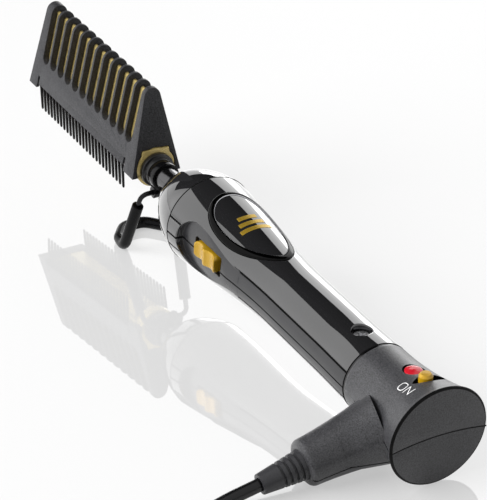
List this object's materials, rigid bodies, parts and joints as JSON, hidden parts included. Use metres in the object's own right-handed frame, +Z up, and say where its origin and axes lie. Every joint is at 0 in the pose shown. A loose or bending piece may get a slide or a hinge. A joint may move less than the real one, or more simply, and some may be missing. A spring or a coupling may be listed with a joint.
{
  "type": "hot comb",
  "caption": "Electric hot comb: gold heating block in a slotted black guard, two rows of teeth, slide switches, fold-out wire stand and mains cord.",
  "frame": {"origin": "middle of the bounding box of the comb without its cord, on the surface it stands on", "axes": "+X from the handle's end to the comb head, +Y to the side of the heat switch and the cord, +Z up; the comb stands on its stand and the rim of its tail"},
  "size_m": [0.3568, 0.1467, 0.0759],
  "materials": {
    "guard_plastic": "fine grained matte",
    "gold_block": "satin gold",
    "tooth_steel": "satin black",
    "heater_steel": "satin",
    "fuse_metal": "satin",
    "screw_steel": "satin",
    "neck_metal": "dark polished",
    "washer_black": "matte",
    "bracket_metal": "satin black",
    "stand_metal": "satin black",
    "sleeve_rubber": "matte",
    "gloss_black": "piano gloss",
    "ring_black": "gloss",
    "window_black": "gloss",
    "gold_print": "metallic gold",
    "gold_plastic": "metallic gold paint",
    "housing_plastic": "matte",
    "board_green": "satin",
    "part_plastic": "matte",
    "lead_sleeve": "braided glass sleeve",
    "lead_pvc": "smooth",
    "charcoal_plastic": "satin, fine grain",
    "red_lens": "translucent red",
    "lamp_red": "gloss",
    "cord_rubber": "smooth satin",
    "relief_rubber": "matte",
    "tie_black": "matte",
    "plug_rubber": "satin",
    "blade_metal": "polished"
  },
  "bodies": {
    "comb": {"comb_guard": "guard_plastic", "heating_block": "gold_block", "tooth_rail_left": "tooth_steel", "tooth_rail_right": "tooth_steel", "heater_cartridge": "heater_steel", "thermal_fuse": "fuse_metal", "guard_screw": "screw_steel", "neck_tube": "neck_metal", "neck_washer": "washer_black", "stand_bracket": "bracket_metal", "nose_cap": "gloss_black", "top_shell": "gloss_black", "bottom_shell": "gloss_black", "badge_ring": "ring_black", "badge_window": "window_black", "badge_bars": "gold_print", "heat_switch_body": "housing_plastic", "circuit_board": "board_green", "board_parts": "part_plastic", "heater_leads": "lead_sleeve", "mains_leads": "lead_pvc", "handle_screw": "screw_steel", "collar_ring": "washer_black", "tail_upper": "charcoal_plastic", "tail_lower": "charcoal_plastic", "power_switch_body": "housing_plastic", "indicator_lens": "red_lens", "indicator_lamp": "lamp_red", "tail_screws": "screw_steel", "cord_clamp": "housing_plastic", "inner_cord": "cord_rubber", "strain_relief": "relief_rubber", "cord_lead": "cord_rubber", "cord_coil": "cord_rubber", "cord_tail": "cord_rubber", "cord_tie": "tie_black", "plug_body": "plug_rubber", "plug_blades": "blade_metal"},
    "stand": {"stand_wire": "stand_metal", "stand_sleeve": "sleeve_rubber"},
    "heat_switch": {"heat_switch_button": "gold_plastic"},
    "power_switch": {"power_knob": "gold_plastic"}
  },
  "joints": [
    {"name": "stand_fold", "type": "hinge", "parent": "comb", "child": "stand", "pos_m": [0.04898, -0.01077, 0.02855], "axis": [0, 1, 0], "range_deg": [0, 82]},
    {"name": "heat_switch_slide", "type": "slide", "parent": "comb", "child": "heat_switch", "axis": [0.9968, 0, 0.0801], "range_m": [-0.0015, 0.0015]},
    {"name": "power_switch_slide", "type": "slide", "parent": "comb", "child": "power_switch", "axis": [0, 1, 0], "range_m": [-0.0034, 0]}
  ]
}
